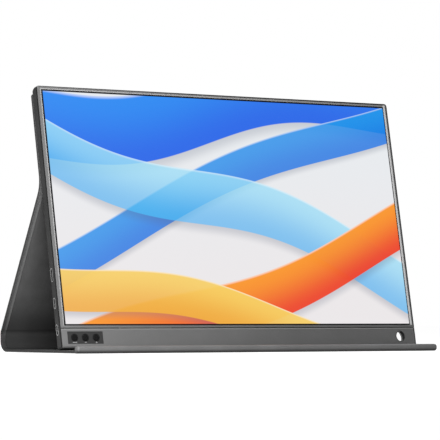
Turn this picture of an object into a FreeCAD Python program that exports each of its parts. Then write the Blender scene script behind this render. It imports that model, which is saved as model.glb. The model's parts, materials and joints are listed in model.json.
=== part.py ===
import FreeCAD, Part
import math
import os
import re
import Sketcher
from FreeCAD import Placement, Rotation, Vector

# Portable monitor standing in its folding cover.
# Frame: X to the viewer's right, Y to the back, Z up, origin on the table under the middle of the base.
# The monitor and the back panel share one tilted frame: X right, Y backwards from the front face of
# the frame, Z up the screen from the monitor's lower edge.

# Driving dimensions in millimetres, with angles in degrees
SIZES = {
    # Screen and casing
    "monitor_width": 355.0, "monitor_height": 217.8, "monitor_depth": 8.0, "bezel_side": 4.2,
    "bezel_top": 3.0, "active_rise": 20.0, "black_border": 1.2, "shell_wall": 1.2,
    "corner_radius": 2.6, "back_edge_radius": 1.6, "back_bevel": 4.6, "fit_gap": 0.1, "cut_overrun": 1.0,
    "bezel_thickness": 0.9, "bezel_edge_radius": 0.8, "seam_gap": 0.5,
    # Lower strip with its controls
    "chin_height": 16.4, "chin_lip_depth": 4.0, "chin_nose_radius": 2.2, "control_rise": 8.8,
    "plate_width": 33.0, "plate_height": 10.2, "plate_inset": 6.1, "plate_thickness": 0.3,
    "plate_recess": 0.2, "button_diameter": 5.0, "button_pitch": 10.05,
    "button_length": 2.2, "button_gap": 0.15, "button_bevel": 0.3, "button_travel": 0.4,
    "flange_overhang": 0.7, "flange_thickness": 0.4, "flange_gap": 0.05, "dome_gap": 0.05,
    "dome_height": 0.55, "dome_diameter": 4.0, "button_board_width": 28.0, "button_board_height": 9.0,
    "button_board_thickness": 0.8, "post_diameter": 3.0, "post_spread": 22.0,
    "pen_hole_inset": 16.5, "pen_hole_radius": 4.2, "sleeve_wall": 0.6, "sleeve_gap": 0.05,
    "flare_radius": 6.5, "flare_start": 3.0,
    # Screen module, from the front to the back
    "glass_recess": 0.35, "glass_thickness": 1.0, "films_thickness": 0.4, "guide_thickness": 0.9,
    "reflector_thickness": 0.2, "tray_thickness": 0.3, "tray_wall": 0.4, "layer_gap": 0.2,
    "led_height": 0.6, "led_gap": 0.1,
    "rail_gap": 17.0, "rail_width": 1.4, "rail_inset": 31.2,
    # Boards, sockets and sound
    "board_width": 64.0, "board_height": 60.0, "board_thickness": 0.8, "board_rise": 14.5,
    "board_side_gap": 0.3, "boss_diameter": 4.0, "boss_inset": 13.0, "boss_side_inset": 7.0,
    "boss_low_inset": 14.5, "boss_top_inset": 7.5, "screw_diameter": 1.5, "screw_hole_gap": 0.05,
    "screw_length": 1.8, "screw_head_diameter": 3.2, "screw_head_height": 0.8,
    "driver_gap": 8.0, "driver_height": 18.0, "driver_thickness": 0.6, "driver_rise": 8.0,
    "ribbon_width": 9.0, "ribbon_thickness": 0.3, "ribbon_overlap": 8.0, "ribbon_rise": 15.5,
    "usb_length": 8.9, "usb_thickness": 3.16, "usb_upper_rise": 37.7, "usb_lower_rise": 16.0,
    "hdmi_length": 11.0, "hdmi_thickness": 3.2, "hdmi_rise": 61.0, "socket_depth": 7.0,
    "socket_wall": 0.3, "socket_back": 0.8, "socket_gap": 0.15, "tongue_thickness": 0.7,
    "tongue_length": 4.6, "tongue_side": 1.3,
    "speaker_width": 40.0, "speaker_height": 11.0, "speaker_thickness": 3.2, "speaker_rise": 2.4,
    "speaker_inset": 59.5, "slot_width": 1.4, "slot_height": 6.0, "slot_pitch": 4.4,
    "magnet_length": 18.0, "magnet_height": 7.0, "magnet_thickness": 1.0, "magnet_inset": 40.0,
    # Cover
    "cover_overhang": 0.2, "cover_drop": 4.8, "cover_corner": 6.0, "skin_thickness": 0.6,
    "stiffener_thickness": 1.2, "lining_thickness": 0.6, "hem_width": 5.0, "hem_gap": 0.1,
    "base_depth": 130.2, "monitor_setback": 27.4, "rest_gap": 0.1, "back_gap": 0.1,
    "back_panel_height": 77.0, "spine_height": 14.8, "upper_crease_radius": 25.0,
    "spine_crease_radius": 15.0, "base_crease_radius": 8.0,
    "bead_depth": 6.0, "bead_height": 6.0, "bead_overhang": 1.5, "bead_top_radius": 2.6,
    "bead_foot_radius": 2.4, "bead_end_radius": 2.2,
    "tilt": 11.44,
}
# Sizes that follow from the driving ones
DERIVED = {
    "active_width": "(monitor_width - 2*bezel_side - 2*black_border)",
    "glass_side": "(active_width/2 + black_border)",
    "glass_low": "(active_rise - black_border)",
    "glass_high": "(monitor_height - bezel_top)",
    "rear_wall": "(monitor_depth - shell_wall)",
    "tray_front": "(glass_recess + glass_thickness)",
    "guide_front": "(tray_front + films_thickness)",
    "guide_back": "(guide_front + guide_thickness)",
    "tray_floor": "(guide_back + reflector_thickness)",
    "stack_back": "(tray_floor + tray_thickness)",
    "layer_side": "(glass_side - tray_wall - layer_gap)",
    "layer_low": "(glass_low + tray_wall + layer_gap)",
    "layer_high": "(glass_high - tray_wall - layer_gap)",
    "cavity_middle": "((stack_back + rear_wall)/2)",
    "board_front": "(cavity_middle - board_thickness/2)",
    "board_back": "(cavity_middle + board_thickness/2)",
    "board_left": "(shell_wall + board_side_gap - monitor_width/2)",
    "board_right": "(board_left + board_width)",
    "boss_spread": "(board_width - boss_inset - boss_side_inset)",
    "boss_rise": "(board_rise + boss_low_inset)",
    "boss_row": "(board_height - boss_low_inset - boss_top_inset)",
    "rail_reach": "(-board_right - rail_gap)",
    "rail_row": "(glass_high - glass_low - 2*rail_inset)",
    "speaker_side": "(monitor_width/2 - speaker_inset - speaker_width/2)",
    "driver_reach": "(speaker_side - speaker_width/2 - driver_gap)",
    "driver_back": "(stack_back + driver_thickness)",
    "socket_end": "(socket_depth - monitor_width/2)",
    "plate_middle": "(plate_inset + plate_width/2 - monitor_width/2)",
    "dome_front": "(button_length + button_travel + dome_gap)",
    "button_board_front": "(dome_front + dome_height)",
    "button_board_back": "(button_board_front + button_board_thickness)",
    "sleeve_hole": "(pen_hole_radius + sleeve_wall + sleeve_gap)",
    "flare_hole": "(flare_radius + sleeve_wall + sleeve_gap)",
    "sheet_thickness": "(skin_thickness + stiffener_thickness + lining_thickness)",
    "cover_width": "(monitor_width + 2*cover_overhang)",
    "cover_top": "(monitor_height - cover_drop)",
    "crease_rise": "(cover_top - back_panel_height)",
    "bead_length": "(cover_width + 2*bead_overhang)",
    "magnet_rise": "((crease_rise + cover_top)/2)",
    "magnet_reach": "(cover_width/2 - magnet_inset)",
}
WORD = r"[a-z_]\w*"
BUTTONS = ("menu_button", "minus_button", "plus_button")
SLOT_COUNT = 7
RAIL_COUNT = 3
MAGNET_COUNT = 4
PICK_TOLERANCE_SHARE = 1e-5
FULL_TURN = 360.0

doc = FreeCAD.newDocument("PortableMonitor")
sheet = doc.addObject("Spreadsheet::Sheet", "Sizes")
for row, (alias, value) in enumerate(SIZES.items(), 1):
    sheet.set("A%d" % row, alias)
    sheet.set("B%d" % row, str(value))
    sheet.setAlias("B%d" % row, alias)
doc.recompute()

subparts = []


# Formulas, sketches and features

def expanded(formula):
    """The formula with every derived size written out in driving ones."""
    while set(re.findall(WORD, formula)) & set(DERIVED):
        formula = re.sub(WORD, lambda word: DERIVED.get(word.group(), word.group()), formula)
    return formula


def size(formula):
    """Value of a formula written in the sizes' names."""
    return float(sheet.evalExpression(expanded(formula)))


def bound(formula):
    """The same formula as an expression that any object of the document can hold."""
    return re.sub(WORD, lambda word: "Sizes." + word.group() if word.group() in SIZES else word.group(),
                  expanded(formula))


def bind(feature, **formulas):
    """Binds the feature's properties to formulas of the sheet."""
    for name, formula in formulas.items():
        feature.setExpression(name, bound(formula))


def new_body(label, placement):
    """An empty body that becomes one sub-part."""
    body = doc.addObject("PartDesign::Body", label)
    body.Placement = placement
    subparts.append(body)
    return body


def sketch_on(body, role, level="0"):
    """A sketch on one of the body's own planes, moved by a formula along the plane's normal."""
    sketch = body.newObject("Sketcher::SketchObject", body.Label + "_sketch")
    plane = next(feature for feature in body.Origin.OriginFeatures if feature.Role == role)
    sketch.AttachmentSupport = [(plane, "")]
    sketch.MapMode = "FlatFace"
    sketch.setExpression("AttachmentOffset.Base.z", bound(level))
    return sketch


def hold(sketch, geometry, vertex, point):
    """Ties one point of the sketch to two formulas."""
    for kind, formula in zip(("DistanceX", "DistanceY"), point):
        constraint = Sketcher.Constraint(kind, -1, 1, geometry, vertex, size(formula))
        sketch.setExpression("Constraints[%d]" % sketch.addConstraint(constraint), bound(formula))


def outline(sketch, points):
    """A closed outline of straight lines with every corner tied to formulas."""
    first = sketch.GeometryCount
    count = len(points)
    places = [Vector(size(x), size(y), 0) for x, y in points]
    for index, place in enumerate(places):
        sketch.addGeometry(Part.LineSegment(place, places[(index + 1) % count]), False)
    for index, point in enumerate(points):
        following = first + (index + 1) % count
        sketch.addConstraint(Sketcher.Constraint("Coincident", first + index, 2, following, 1))
        hold(sketch, first + index, 1, point)


def rectangle(left, right, low, high):
    """The four corners of an upright rectangle."""
    return [(left, low), (right, low), (right, high), (left, high)]


def circle(sketch, centre, radius):
    """A circle with its centre and radius tied to formulas."""
    place = Vector(size(centre[0]), size(centre[1]), 0)
    index = sketch.addGeometry(Part.Circle(place, Vector(0, 0, 1), size(radius)), False)
    hold(sketch, index, 3, centre)
    constraint = sketch.addConstraint(Sketcher.Constraint("Radius", index, size(radius)))
    sketch.setExpression("Constraints[%d]" % constraint, bound(radius))


def stadium(sketch, centre, length, thickness):
    """A slot outline, long in the sketch's second direction, with half-round ends."""
    across, along = centre
    radius = "(%s)/2" % thickness
    reach = "((%s)/2 - %s)" % (length, radius)
    low = "%s - %s" % (along, reach)
    high = "%s + %s" % (along, reach)
    side = size(radius)
    middle = size(across)
    corners = [Vector(middle + side, size(low), 0), Vector(middle + side, size(high), 0),
               Vector(middle - side, size(high), 0), Vector(middle - side, size(low), 0)]
    ends = [Part.Circle(Vector(middle, size(level), 0), Vector(0, 0, 1), side) for level in (low, high)]
    first = sketch.GeometryCount
    sketch.addGeometry(Part.LineSegment(corners[0], corners[1]), False)
    sketch.addGeometry(Part.ArcOfCircle(ends[1], 0, math.pi), False)
    sketch.addGeometry(Part.LineSegment(corners[2], corners[3]), False)
    sketch.addGeometry(Part.ArcOfCircle(ends[0], math.pi, 2 * math.pi), False)
    for step in range(4):
        sketch.addConstraint(Sketcher.Constraint("Tangent", first + step, 2, first + (step + 1) % 4, 1))
    for arc, level in ((first + 1, high), (first + 3, low)):
        hold(sketch, arc, 3, (across, level))
        constraint = sketch.addConstraint(Sketcher.Constraint("Radius", arc, side))
        sketch.setExpression("Constraints[%d]" % constraint, bound(radius))


def corner_waste(sketch, side):
    """What is cut away outside the monitor's lower corner, on the left (-1) or the right (1)."""
    edge = "%d*monitor_width/2" % side
    inner = "%d*(monitor_width/2 - corner_radius)" % side
    outer = "%d*(monitor_width/2 + cut_overrun)" % side
    points = [(inner, "0"), (inner, "-cut_overrun"), (outer, "-cut_overrun"), (outer, "corner_radius"),
              (edge, "corner_radius")]
    places = [Vector(size(x), size(z), 0) for x, z in points]
    first = sketch.GeometryCount
    for start, end in zip(places, places[1:]):
        sketch.addGeometry(Part.LineSegment(start, end), False)
    round_corner = Part.Circle(Vector(size(inner), size("corner_radius"), 0), Vector(0, 0, 1), size("corner_radius"))
    quarter = (1.5 * math.pi, 2 * math.pi) if side > 0 else (math.pi, 1.5 * math.pi)
    arc = sketch.addGeometry(Part.ArcOfCircle(round_corner, *quarter), False)
    foot, top = (1, 2) if side > 0 else (2, 1)
    for index, point in enumerate(points[:-1]):
        hold(sketch, first + index, 1, point)
        if index:
            sketch.addConstraint(Sketcher.Constraint("Coincident", first + index - 1, 2, first + index, 1))
    hold(sketch, arc - 1, 2, points[-1])
    sketch.addConstraint(Sketcher.Constraint("Coincident", arc, foot, first, 1))
    sketch.addConstraint(Sketcher.Constraint("Coincident", arc, top, arc - 1, 2))
    constraint = sketch.addConstraint(Sketcher.Constraint("Radius", arc, size("corner_radius")))
    sketch.setExpression("Constraints[%d]" % constraint, bound("corner_radius"))


def pad(body, sketch, length, backwards=False):
    """Adds the sketch's area over a length, along the plane's normal or against it."""
    feature = body.newObject("PartDesign::Pad", body.Label + "_pad")
    feature.Profile = sketch
    bind(feature, Length=length)
    feature.Reversed = backwards
    doc.recompute()
    return feature


def pocket(body, sketch, length, along_normal=False):
    """Cuts the sketch's area over a length and makes sure that material went."""
    before = body.Shape.Volume
    feature = body.newObject("PartDesign::Pocket", body.Label + "_pocket")
    feature.Profile = sketch
    bind(feature, Length=length)
    feature.Reversed = along_normal
    doc.recompute()
    if body.Shape.Volume >= before:
        raise RuntimeError(body.Label + ": a pocket cut nothing")
    return feature


def revolve(body, sketch, axis, angle, backwards=False):
    """Turns the sketch's area about one of its own axes."""
    feature = body.newObject("PartDesign::Revolution", body.Label + "_turn")
    feature.Profile = sketch
    feature.ReferenceAxis = (sketch, [axis])
    feature.Angle = angle
    feature.Reversed = backwards
    doc.recompute()


def dressed(body, kind, chosen, **formulas):
    """Works the edges of the body that the rule picks and makes sure that it held."""
    tip = body.Tip
    names = ["Edge%d" % number for number, edge in enumerate(tip.Shape.Edges, 1) if chosen(edge)]
    feature = body.newObject("PartDesign::" + kind, body.Label + "_edges")
    feature.Base = (tip, names)
    bind(feature, **formulas)
    doc.recompute()
    if not names or "Invalid" in feature.State:
        raise RuntimeError(body.Label + ": the edges could not be worked")


def fillet(body, radius, chosen):
    """Rounds the edges that the rule picks."""
    dressed(body, "Fillet", chosen, Radius=radius)


def chamfer(body, width, chosen):
    """Bevels the edges that the rule picks."""
    dressed(body, "Chamfer", chosen, Size=width)


def repeat(body, feature, role, length, count):
    """Repeats a feature in a straight row from its first to its last place."""
    pattern = body.newObject("PartDesign::LinearPattern", body.Label + "_row")
    pattern.Originals = [feature]
    axis = next(item for item in body.Origin.OriginFeatures if item.Role == role)
    pattern.Direction = (axis, [""])
    bind(pattern, Length=length)
    pattern.Occurrences = count
    body.Tip = pattern
    doc.recompute()


def near(value, formula):
    """True where a coordinate lies at a formula's value."""
    return abs(value - size(formula)) < PICK_TOLERANCE_SHARE * size("monitor_width")


def lies_at(**places):
    """A rule for edges that lie wholly at the given x, y or z."""
    return lambda edge: all(near(getattr(vertex.Point, axis), formula)
                            for vertex in edge.Vertexes for axis, formula in places.items())


def either(*rules):
    """A rule that picks what any of the rules picks."""
    return lambda edge: any(rule(edge) for rule in rules)


def box(label, placement, spans, kept=True):
    """A block between a low and a high formula along each axis of the placement."""
    block = doc.addObject("Part::Box", label)
    for name, (low, high) in zip(("Length", "Width", "Height"), spans):
        block.setExpression(name, bound("(%s) - (%s)" % (high, low)))
    block.Placement = placement * Placement(Vector(*(size(low) for low, high in spans)), Rotation())
    if kept:
        subparts.append(block)
    return block


def disc(label, placement, centre, level, diameter, thickness):
    """A round disc that lies in the screen's plane, from one level backwards."""
    cylinder = doc.addObject("Part::Cylinder", label)
    bind(cylinder, Radius="(%s)/2" % diameter, Height=thickness)
    place = Vector(size(centre[0]), size(level), size(centre[1]))
    cylinder.Placement = placement * Placement(place, Rotation(Vector(1, 0, 0), -90))
    return cylinder


def group(label, members):
    """Several equal solids that share one node."""
    compound = doc.addObject("Part::Compound", label)
    compound.Links = members
    subparts.append(compound)
    return compound


def centred(width):
    """A span of the given width about the middle."""
    return "-(%s)/2" % width, "(%s)/2" % width


# Places of the panels, the creases and the monitor

sheet_half = size("sheet_thickness") / 2
tilt = math.radians(size("tilt"))
half_base = size("base_depth") / 2
back_round = size("back_edge_radius")
rear_reach = size("monitor_depth") - back_round
lower_edge_height = (size("sheet_thickness + rest_gap") + back_round
                     + rear_reach * math.sin(tilt) - back_round * math.cos(tilt))
X_AXIS = Vector(1, 0, 0)
SCREEN = Placement(Vector(0, size("monitor_setback") - half_base, lower_edge_height),
                   Rotation(X_AXIS, -size("tilt")))
UPPER_FOLD = SCREEN.multVec(Vector(0, size("monitor_depth + back_gap") + sheet_half, size("crease_rise")))
BASE_FOLD = Vector(0, half_base - sheet_half, sheet_half)
SPINE_FOLD = BASE_FOLD + Vector(0, 0, size("spine_height"))
support_length = (UPPER_FOLD - SPINE_FOLD).Length
lean = math.degrees(math.atan2(SPINE_FOLD.y - UPPER_FOLD.y, UPPER_FOLD.z - SPINE_FOLD.z))
BASE_TURN = -90.0
SPINE_TURN = 0.0
FRONT_EDGE = Vector(0, -half_base, sheet_half)


def turned(place, degrees):
    """A panel's frame: X along the crease, Z up the sheet, Y out of its outer skin."""
    return Placement(place, Rotation(X_AXIS, degrees))


def crease_reach(radius, turn):
    """Distance from a fold's corner to where its bend begins."""
    return size(radius) * math.tan(math.radians(abs(turn)) / 2)


# Cover: panels of skin, stiffener and lining, joined by creases

def panel(name, placement, start, end, rounded=False, holes=()):
    """One stiff panel of the sheet between two distances along it, which are lengths in its frame."""
    low, high = "%r" % start, "%r" % end
    side = centred("cover_width")
    inner = "hem_width + hem_gap"
    skin = new_body(name + "_skin", placement)
    sketch = sketch_on(skin, "XZ_Plane", "-sheet_thickness/2")
    outline(sketch, rectangle(*side, low, high))
    pad(skin, sketch, "skin_thickness + stiffener_thickness")
    sketch = sketch_on(skin, "XZ_Plane", "sheet_thickness/2 - lining_thickness")
    outline(sketch, rectangle(side[0] + " + hem_width", side[1] + " - hem_width",
                              low + " + hem_width", high + " - hem_width"))
    pocket(skin, sketch, "stiffener_thickness")
    lining = new_body(name + "_lining", placement)
    sketch = sketch_on(lining, "XZ_Plane", "sheet_thickness/2")
    outline(sketch, rectangle(*side, low, high))
    pad(lining, sketch, "lining_thickness", backwards=True)
    if rounded:
        for body in (skin, lining):
            corners = [lies_at(x=edge, z=high) for edge in side]
            fillet(body, "cover_corner", either(*corners))
    stiffener = new_body(name + "_board", placement)
    sketch = sketch_on(stiffener, "XZ_Plane", "sheet_thickness/2 - lining_thickness")
    outline(sketch, rectangle(side[0] + " + " + inner, side[1] + " - (%s)" % inner,
                              low + " + " + inner, high + " - (%s)" % inner))
    for middle, rise in holes:
        half = ("(magnet_length/2 + hem_gap)", "(magnet_height/2 + hem_gap)")
        outline(sketch, rectangle("%s - %s" % (middle, half[0]), "%s + %s" % (middle, half[0]),
                                  "%s - %s" % (rise, half[1]), "%s + %s" % (rise, half[1])))
    pad(stiffener, sketch, "stiffener_thickness", backwards=True)


def crease(label, place, turn_from, turn_to, radius):
    """A bent strip of the sheet that joins two panels round a fold's corner."""
    turn = turn_to - turn_from
    inward = -1 if turn > 0 else 1
    to_centre = inward * size(radius)
    reach = crease_reach(radius, turn)
    start = turned(place, turn_from)
    centre = start.multVec(Vector(0, to_centre, -reach))
    body = new_body(label, turned(centre, turn_from))
    sketch = sketch_on(body, "XY_Plane")
    near_side = "%d*(%s - sheet_thickness/2)" % (-inward, radius)
    far_side = "%d*(%s + sheet_thickness/2)" % (-inward, radius)
    outline(sketch, rectangle(*centred("cover_width"), near_side, far_side))
    revolve(body, sketch, "H_Axis", abs(turn), turn < 0)


base_reach = crease_reach("base_crease_radius", SPINE_TURN - BASE_TURN)
spine_reach = crease_reach("spine_crease_radius", lean - SPINE_TURN)
upper_reach = crease_reach("upper_crease_radius", lean + size("tilt"))
magnet_shares = [2 * index / (MAGNET_COUNT - 1) - 1 for index in range(MAGNET_COUNT)]
panel("base", turned(FRONT_EDGE, BASE_TURN), size("bead_depth"), BASE_FOLD.y + half_base - base_reach)
panel("support", turned(SPINE_FOLD, lean), spine_reach, support_length - upper_reach)
panel("back_panel", turned(UPPER_FOLD, -size("tilt")), upper_reach, size("back_panel_height"), True,
      [("%r*magnet_reach" % share, "magnet_rise - crease_rise") for share in magnet_shares])
crease("base_crease", BASE_FOLD, BASE_TURN, SPINE_TURN, "base_crease_radius")
crease("spine_crease", SPINE_FOLD, SPINE_TURN, lean, "spine_crease_radius")
crease("upper_crease", UPPER_FOLD, lean, -size("tilt"), "upper_crease_radius")
box("spine_strip", turned(BASE_FOLD, SPINE_TURN),
    (centred("cover_width"), centred("sheet_thickness"), ("%r" % base_reach, "spine_height - %r" % spine_reach)))

bead = new_body("front_bead", Placement(FRONT_EDGE - Vector(0, 0, sheet_half), Rotation()))
sketch = sketch_on(bead, "YZ_Plane", "-bead_length/2")
outline(sketch, rectangle("0", "bead_depth", "0", "bead_height"))
pad(bead, sketch, "bead_length")
fillet(bead, "bead_top_radius", either(lies_at(y="0", z="bead_height"), lies_at(y="bead_depth", z="bead_height")))
fillet(bead, "bead_foot_radius", lies_at(y="0", z="0"))
fillet(bead, "bead_end_radius", either(lies_at(x="-bead_length/2"), lies_at(x="bead_length/2")))


def magnets(label, placement, rise, front, thickness):
    """A row of bar magnets at one height, from a level backwards."""
    group(label, [box("%s_%d" % (label, index), placement,
                      (("%r*magnet_reach - magnet_length/2" % share, "%r*magnet_reach + magnet_length/2" % share),
                       (front, "%s + %s" % (front, thickness)),
                       ("%s - magnet_height/2" % rise, "%s + magnet_height/2" % rise)), kept=False)
                  for index, share in enumerate(magnet_shares)])


magnets("cover_magnets", turned(UPPER_FOLD, -size("tilt")), "magnet_rise - crease_rise",
        "lining_thickness - sheet_thickness/2", "stiffener_thickness")

# Monitor: the casing

PEN_HOLE = ("monitor_width/2 - pen_hole_inset", "control_rise")
SCREW_PLACES = [("board_left + boss_inset + %d*boss_spread" % column, "boss_rise + %d*boss_row" % line)
                for column in (0, 1) for line in (0, 1)]
POST_PLACES = [("plate_middle + %d*post_spread/2" % side, "control_rise") for side in (-1, 1)]
SOCKETS = (("mini_hdmi_port", "hdmi_length", "hdmi_thickness", "hdmi_rise"),
           ("usb_c_port_upper", "usb_length", "usb_thickness", "usb_upper_rise"),
           ("usb_c_port_lower", "usb_length", "usb_thickness", "usb_lower_rise"))
SPEAKERS = (("speaker_left", "-speaker_side"), ("speaker_right", "speaker_side"))
monitor_side = centred("monitor_width")

rear_cover = new_body("rear_cover", SCREEN)
sketch = sketch_on(rear_cover, "XZ_Plane", "-bezel_thickness")
outline(sketch, rectangle(*monitor_side, "0", "monitor_height"))
pad(rear_cover, sketch, "monitor_depth - bezel_thickness", backwards=True)
fillet(rear_cover, "corner_radius", either(*[lies_at(x=edge, z=level) for edge in monitor_side
                                             for level in ("0", "monitor_height")]))
sketch = sketch_on(rear_cover, "YZ_Plane", "-monitor_width/2 - cut_overrun")
outline(sketch, [("monitor_depth - back_bevel - cut_overrun", "monitor_height + cut_overrun"),
                 ("monitor_depth + cut_overrun", "monitor_height - back_bevel - cut_overrun"),
                 ("monitor_depth + cut_overrun", "monitor_height + cut_overrun")])
pocket(rear_cover, sketch, "monitor_width + 2*cut_overrun", along_normal=True)
fillet(rear_cover, "back_edge_radius", lies_at(y="monitor_depth"))
sketch = sketch_on(rear_cover, "XZ_Plane", "-bezel_thickness")
outline(sketch, rectangle(monitor_side[0] + " + shell_wall", monitor_side[1] + " - shell_wall",
                          "shell_wall", "monitor_height - shell_wall"))
pocket(rear_cover, sketch, "stack_back + fit_gap - bezel_thickness")
sketch = sketch_on(rear_cover, "XZ_Plane", "-bezel_thickness")
outline(sketch, rectangle(monitor_side[0] + " + shell_wall", monitor_side[1] + " - shell_wall",
                          "shell_wall", "monitor_height - back_bevel"))
pocket(rear_cover, sketch, "rear_wall - bezel_thickness")
sketch = sketch_on(rear_cover, "YZ_Plane", "-monitor_width/2 - cut_overrun")
outline(sketch, rectangle("bezel_thickness - cut_overrun", "chin_lip_depth + fit_gap",
                          "-cut_overrun", "shell_wall + fit_gap"))
pocket(rear_cover, sketch, "monitor_width + 2*cut_overrun", along_normal=True)
sketch = sketch_on(rear_cover, "YZ_Plane", "-monitor_width/2 - cut_overrun")
for label, length, thickness, rise in SOCKETS:
    stadium(sketch, ("cavity_middle", rise), length + " + 2*socket_gap", thickness + " + 2*socket_gap")
pocket(rear_cover, sketch, "shell_wall + 2*cut_overrun", along_normal=True)
sketch = sketch_on(rear_cover, "XZ_Plane", "-board_back")
for place in SCREW_PLACES:
    circle(sketch, place, "boss_diameter/2")
    circle(sketch, place, "screw_diameter/2 + screw_hole_gap")
pad(rear_cover, sketch, "rear_wall - board_back", backwards=True)
sketch = sketch_on(rear_cover, "XZ_Plane", "-button_board_back")
for place in POST_PLACES:
    circle(sketch, place, "post_diameter/2")
pad(rear_cover, sketch, "rear_wall - button_board_back", backwards=True)
sketch = sketch_on(rear_cover, "XZ_Plane", "-stack_back")
outline(sketch, rectangle("-rail_reach", "rail_reach", "glass_low + rail_inset", "glass_low + rail_inset + rail_width"))
rail = pad(rear_cover, sketch, "rear_wall - stack_back", backwards=True)
repeat(rear_cover, rail, "Z_Axis", "rail_row", RAIL_COUNT)
sketch = sketch_on(rear_cover, "XZ_Plane", "cut_overrun - rear_wall")
circle(sketch, PEN_HOLE, "flare_hole")
pocket(rear_cover, sketch, "shell_wall + 2*cut_overrun")
for label, middle in SPEAKERS:
    row = "%d*slot_pitch" % (SLOT_COUNT - 1)
    sketch = sketch_on(rear_cover, "XZ_Plane", "-rear_wall")
    start = "%s - (%s + slot_width)/2" % (middle, row)
    low = "speaker_rise + (speaker_height - slot_height)/2"
    outline(sketch, rectangle(start, start + " + slot_width", low, low + " + slot_height"))
    slot = pocket(rear_cover, sketch, "shell_wall + cut_overrun")
    repeat(rear_cover, slot, "X_Axis", row, SLOT_COUNT)

bezel = new_body("front_bezel", SCREEN)
sketch = sketch_on(bezel, "XZ_Plane")
outline(sketch, rectangle(*monitor_side, "chin_height + seam_gap", "monitor_height"))
outline(sketch, rectangle("-(glass_side + fit_gap)", "glass_side + fit_gap",
                          "glass_low - fit_gap", "glass_high + fit_gap"))
pad(bezel, sketch, "bezel_thickness", backwards=True)
fillet(bezel, "corner_radius", either(*[lies_at(x=edge, z="monitor_height") for edge in monitor_side]))
fillet(bezel, "bezel_edge_radius", lambda edge: lies_at(y="0")(edge) and (
    lies_at(x=monitor_side[0])(edge) or lies_at(x=monitor_side[1])(edge) or lies_at(z="monitor_height")(edge)
    or edge.Curve.TypeId == "Part::GeomCircle"))

chin = new_body("chin_cover", SCREEN)
sketch = sketch_on(chin, "YZ_Plane", "-monitor_width/2")
outline(sketch, [("0", "0"), ("chin_lip_depth", "0"), ("chin_lip_depth", "shell_wall"),
                 ("bezel_thickness", "shell_wall"), ("bezel_thickness", "chin_height"), ("0", "chin_height")])
pad(chin, sketch, "monitor_width")
fillet(chin, "chin_nose_radius", lies_at(y="0", z="0"))
fillet(chin, "bezel_edge_radius", either(lies_at(y="0", z="chin_height"),
                                         *[lies_at(x=edge, y="0") for edge in monitor_side]))
sketch = sketch_on(chin, "XZ_Plane", "cut_overrun")
for side in (-1, 1):
    corner_waste(sketch, side)
pocket(chin, sketch, "chin_lip_depth + 2*cut_overrun")
sketch = sketch_on(chin, "XZ_Plane")
outline(sketch, rectangle("plate_middle - plate_width/2", "plate_middle + plate_width/2",
                          "control_rise - plate_height/2", "control_rise + plate_height/2"))
pocket(chin, sketch, "plate_recess + plate_thickness")
button_places = [("plate_middle + %d*button_pitch" % side, "control_rise") for side in (-1, 0, 1)]
sketch = sketch_on(chin, "XZ_Plane")
for place in button_places:
    circle(sketch, place, "button_diameter/2 + 2*button_gap")
circle(sketch, PEN_HOLE, "sleeve_hole")
pocket(chin, sketch, "bezel_thickness + cut_overrun")

plate = new_body("button_plate", SCREEN)
sketch = sketch_on(plate, "XZ_Plane", "-plate_recess")
plate_side = ("plate_middle - plate_width/2 + fit_gap", "plate_middle + plate_width/2 - fit_gap")
plate_rise = ("control_rise - plate_height/2 + fit_gap", "control_rise + plate_height/2 - fit_gap")
outline(sketch, rectangle(*plate_side, *plate_rise))
for place in button_places:
    circle(sketch, place, "button_diameter/2 + button_gap")
pad(plate, sketch, "plate_thickness", backwards=True)

sleeve_place = Placement(Vector(size(PEN_HOLE[0]), 0, size(PEN_HOLE[1])), Rotation())
sleeve = new_body("pen_hole_sleeve", SCREEN * sleeve_place)
sketch = sketch_on(sleeve, "XY_Plane")
outline(sketch, [("pen_hole_radius", "0"), ("pen_hole_radius + sleeve_wall", "0"),
                 ("pen_hole_radius + sleeve_wall", "flare_start"), ("flare_radius + sleeve_wall", "monitor_depth"),
                 ("flare_radius", "monitor_depth"), ("pen_hole_radius", "flare_start")])
revolve(sleeve, sketch, "V_Axis", FULL_TURN)

# Buttons with their flanges, and the switches behind them

for label, place in zip(BUTTONS, button_places):
    button = new_body(label, SCREEN)
    sketch = sketch_on(button, "XZ_Plane")
    circle(sketch, place, "button_diameter/2")
    pad(button, sketch, "button_length", backwards=True)
    chamfer(button, "button_bevel", lies_at(y="0"))
    sketch = sketch_on(button, "XZ_Plane", "-bezel_thickness - flange_gap")
    circle(sketch, place, "button_diameter/2 + flange_overhang")
    pad(button, sketch, "flange_thickness", backwards=True)

group("dome_switches", [disc("dome_switch_%d" % index, SCREEN, place, "dome_front", "dome_diameter", "dome_height")
                        for index, place in enumerate(button_places)])
box("button_board", SCREEN,
    (("plate_middle - button_board_width/2", "plate_middle + button_board_width/2"),
     ("button_board_front", "button_board_back"),
     ("control_rise - button_board_height/2", "control_rise + button_board_height/2")))

# Screen module: glass, films, light guide, reflector and their tray

box("lcd_glass", SCREEN, (("-glass_side", "glass_side"), ("glass_recess", "tray_front"),
                          ("glass_low", "glass_high")))
tray = new_body("backlight_tray", SCREEN)
sketch = sketch_on(tray, "XZ_Plane", "-tray_front")
outline(sketch, rectangle("-glass_side", "glass_side", "glass_low", "glass_high"))
pad(tray, sketch, "stack_back - tray_front", backwards=True)
sketch = sketch_on(tray, "XZ_Plane", "-tray_front")
outline(sketch, rectangle("-(glass_side - tray_wall)", "glass_side - tray_wall",
                          "glass_low + tray_wall", "glass_high - tray_wall"))
pocket(tray, sketch, "tray_floor - tray_front")

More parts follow.
